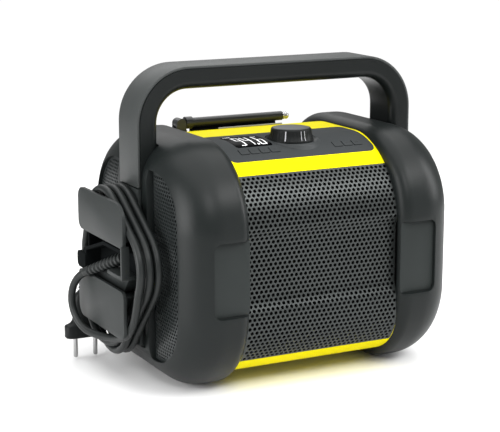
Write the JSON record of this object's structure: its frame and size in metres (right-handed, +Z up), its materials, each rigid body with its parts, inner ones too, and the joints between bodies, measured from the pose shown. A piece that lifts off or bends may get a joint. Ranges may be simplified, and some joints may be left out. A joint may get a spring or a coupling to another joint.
{
  "type": "jobsite radio",
  "caption": "Jobsite radio with a D-shaped barrel between thick end bumpers, a fixed carrying handle, a folding aerial and a mains lead wound on one end.",
  "frame": {"origin": "bottom centre of the radio, cord left out, on the ground under the bumpers", "axes": "+X along the radio to its right end, +Y to the back, +Z up"},
  "size_m": [0.3112, 0.221, 0.2705],
  "materials": {
    "case_yellow": "satin moulded plastic",
    "bumper_charcoal": "soft-touch, fine grain",
    "handle_charcoal": "soft-touch, fine grain",
    "strip_charcoal": "satin",
    "grille_steel": "powder coated, perforated",
    "window_grille": "perforated",
    "panel_dark": "fine grain",
    "display_black": "polished",
    "knob_dark": "satin",
    "collar_grey": "satin",
    "key_dark": "matte",
    "cloth_black": "woven",
    "bracket_dark": "satin",
    "cord_black": "satin",
    "plug_black": "satin",
    "pin_nickel": "bright",
    "aerial_black": "satin",
    "aerial_chrome": "polished",
    "metal_steel": "plated",
    "cone_paper": "matte",
    "magnet_iron": "plated",
    "board_green": "solder mask"
  },
  "bodies": {
    "case": {"front_shell": "case_yellow", "rear_shell": "case_yellow", "control_panel": "panel_dark", "display_lens": "display_black", "display_module": "panel_dark", "knob_collar": "collar_grey", "encoder_bush": "metal_steel", "key_board": "board_green", "front_grille": "grille_steel", "grille_backing": "cloth_black", "left_bumper": "bumper_charcoal", "right_bumper": "bumper_charcoal", "left_end_grille": "window_grille", "right_end_grille": "window_grille", "handle_frame": "handle_charcoal", "handle_strip": "strip_charcoal", "cord_bracket": "bracket_dark", "cord_outlet": "bracket_dark", "cord_boot": "cord_black", "cord_tail": "cord_black", "cord_coil": "cord_black", "cord_lead": "cord_black", "plug_body": "plug_black", "plug_pins": "pin_nickel", "aerial_tray": "collar_grey", "left_speaker_basket": "metal_steel", "left_speaker_cone": "cone_paper", "left_speaker_magnet": "magnet_iron", "right_speaker_basket": "metal_steel", "right_speaker_cone": "cone_paper", "right_speaker_magnet": "magnet_iron", "main_board": "board_green", "mains_transformer": "magnet_iron", "rear_panel": "panel_dark", "socket_block": "panel_dark", "flap_pin": "metal_steel", "case_screws": "metal_steel", "handle_screws": "metal_steel", "bracket_screws": "metal_steel"},
    "knob": {"control_knob": "knob_dark", "encoder_shaft": "metal_steel"},
    "turret": {"aerial_turret": "aerial_black", "aerial_pin": "metal_steel"},
    "mast": {"aerial_knuckle": "aerial_black", "aerial_sleeve": "aerial_black"},
    "mast_tube": {"aerial_tube": "aerial_chrome", "aerial_tip": "aerial_chrome"},
    "flap": {"socket_flap": "key_dark"},
    "body_preset_key_1": {"preset_key_1": "key_dark"},
    "body_preset_key_2": {"preset_key_2": "key_dark"},
    "body_preset_key_3": {"preset_key_3": "key_dark"},
    "body_preset_key_4": {"preset_key_4": "key_dark"},
    "body_mode_key_1": {"mode_key_1": "key_dark"},
    "body_mode_key_2": {"mode_key_2": "key_dark"},
    "body_mode_key_3": {"mode_key_3": "key_dark"}
  },
  "joints": [
    {"name": "knob_turn", "type": "hinge", "parent": "case", "child": "knob", "pos_m": [0.017, -0.036, 0.205], "axis": [0, 0, 1], "continuous": true},
    {"name": "preset_key_1_press", "type": "slide", "parent": "case", "child": "body_preset_key_1", "axis": [0, 0.3907, -0.9205], "range_m": [0, 0.0006], "stiffness_N_per_m": 400, "springref_m": -0.0005},
    {"name": "preset_key_2_press", "type": "slide", "parent": "case", "child": "body_preset_key_2", "axis": [0, 0.3907, -0.9205], "range_m": [0, 0.0006], "stiffness_N_per_m": 400, "springref_m": -0.0005},
    {"name": "preset_key_3_press", "type": "slide", "parent": "case", "child": "body_preset_key_3", "axis": [0, 0.3907, -0.9205], "range_m": [0, 0.0006], "stiffness_N_per_m": 400, "springref_m": -0.0005},
    {"name": "preset_key_4_press", "type": "slide", "parent": "case", "child": "body_preset_key_4", "axis": [0, 0.3907, -0.9205], "range_m": [0, 0.0006], "stiffness_N_per_m": 400, "springref_m": -0.0005},
    {"name": "mode_key_1_press", "type": "slide", "parent": "case", "child": "body_mode_key_1", "axis": [0, 0.3907, -0.9205], "range_m": [0, 0.0006], "stiffness_N_per_m": 400, "springref_m": -0.0005},
    {"name": "mode_key_2_press", "type": "slide", "parent": "case", "child": "body_mode_key_2", "axis": [0, 0.3907, -0.9205], "range_m": [0, 0.0006], "stiffness_N_per_m": 400, "springref_m": -0.0005},
    {"name": "mode_key_3_press", "type": "slide", "parent": "case", "child": "body_mode_key_3", "axis": [0, 0.3907, -0.9205], "range_m": [0, 0.0006], "stiffness_N_per_m": 400, "springref_m": -0.0005},
    {"name": "aerial_turn", "type": "hinge", "parent": "case", "child": "turret", "pos_m": [-0.05, 0.05, 0.2], "axis": [0, 0, 1], "range_deg": [0, 90]},
    {"name": "aerial_tilt", "type": "hinge", "parent": "turret", "child": "mast", "pos_m": [-0.05, 0.05, 0.211], "axis": [0, -1, 0], "range_deg": [0, 90]},
    {"name": "aerial_slide", "type": "slide", "parent": "mast", "child": "mast_tube", "axis": [1, 0, 0], "range_m": [0, 0.022]},
    {"name": "flap_hinge", "type": "hinge", "parent": "case", "child": "flap", "pos_m": [0.036, 0.1036, 0.117], "axis": [1, 0, 0], "range_deg": [0, 110]}
  ]
}
